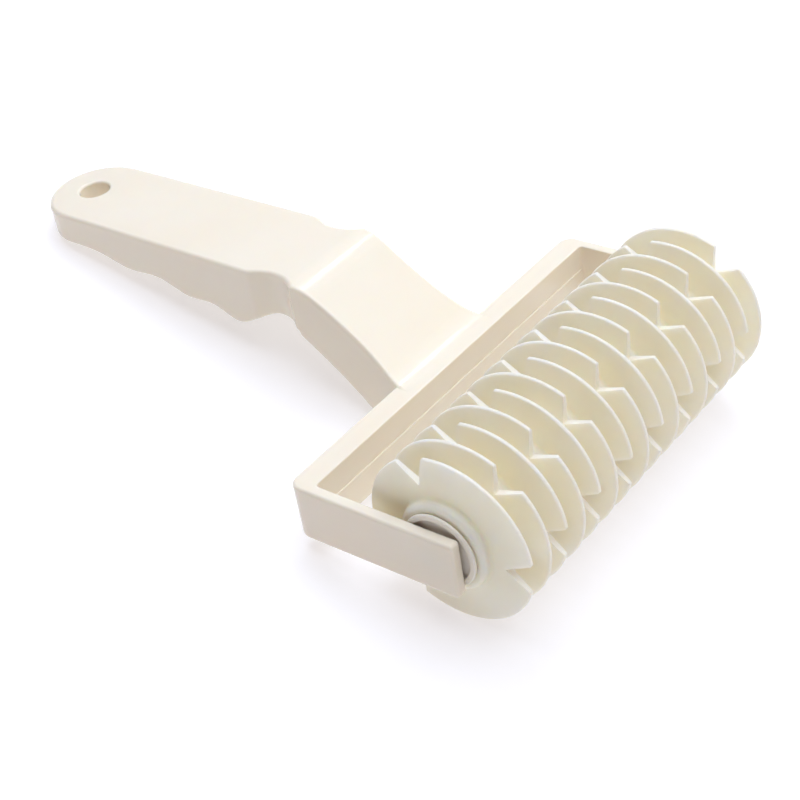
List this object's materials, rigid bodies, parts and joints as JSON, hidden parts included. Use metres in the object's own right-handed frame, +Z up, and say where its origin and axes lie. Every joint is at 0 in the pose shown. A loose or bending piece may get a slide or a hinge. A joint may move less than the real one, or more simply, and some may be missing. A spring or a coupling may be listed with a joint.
{
  "type": "pastry lattice roller cutter",
  "caption": "Pastry lattice roller cutter: a moulded handle with a bent neck and fork, in which a roller of notched cutting discs turns.",
  "frame": {"origin": "on the table, at the bottom centre of the whole tool's box, as it lies on its discs and its handle's end", "axes": "+X along the roller, +Y towards the handle's end, +Z up"},
  "size_m": [0.1258, 0.2056, 0.0464],
  "materials": {
    "frame_plastic": "glossy warm white",
    "disc_plastic": "satin, milky and slightly translucent",
    "cap_plastic": "satin milky white"
  },
  "bodies": {
    "frame": {"frame": "frame_plastic"},
    "roller": {"roller_axle": "cap_plastic", "near_end_cap": "cap_plastic", "far_end_cap": "cap_plastic", "cutting_disc_01": "disc_plastic", "cutting_disc_02": "disc_plastic", "cutting_disc_03": "disc_plastic", "cutting_disc_04": "disc_plastic", "cutting_disc_05": "disc_plastic", "cutting_disc_06": "disc_plastic", "cutting_disc_07": "disc_plastic", "cutting_disc_08": "disc_plastic", "cutting_disc_09": "disc_plastic", "cutting_disc_10": "disc_plastic", "cutting_disc_11": "disc_plastic", "cutting_disc_12": "disc_plastic", "cutting_disc_13": "disc_plastic", "cutting_disc_14": "disc_plastic", "cutting_disc_15": "disc_plastic", "cutting_disc_16": "disc_plastic"}
  },
  "joints": [
    {"name": "roller_spin", "type": "hinge", "parent": "frame", "child": "roller", "pos_m": [0, -0.07956, 0.0232], "axis": [1, 0, 0], "continuous": true}
  ]
}
